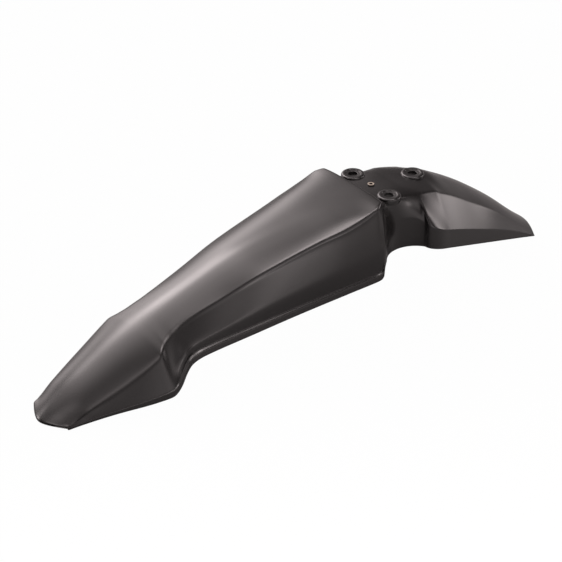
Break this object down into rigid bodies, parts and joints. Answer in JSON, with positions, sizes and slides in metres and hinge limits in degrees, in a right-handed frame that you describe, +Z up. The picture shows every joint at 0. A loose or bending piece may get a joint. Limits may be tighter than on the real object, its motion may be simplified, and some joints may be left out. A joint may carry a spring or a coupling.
{
  "type": "motorcycle front mudguard",
  "caption": "One-piece moulded front mudguard with a long drooping nose, side flares, fork leg recesses, bolt pads and a short curved tail.",
  "frame": {"origin": "midway between the two front bolt holes, level with the shallow seats in the tops of their pads", "axes": "+Z up out of the front bolt holes, -Y forward along the nose and +Y back along the tail, +X to the motorcycle's left when the nose points forward"},
  "size_m": [0.145, 0.71, 0.1535],
  "materials": {
    "plastic": "satin moulded black plastic"
  },
  "bodies": {
    "root": {"mudguard": "plastic"}
  },
  "joints": []
}
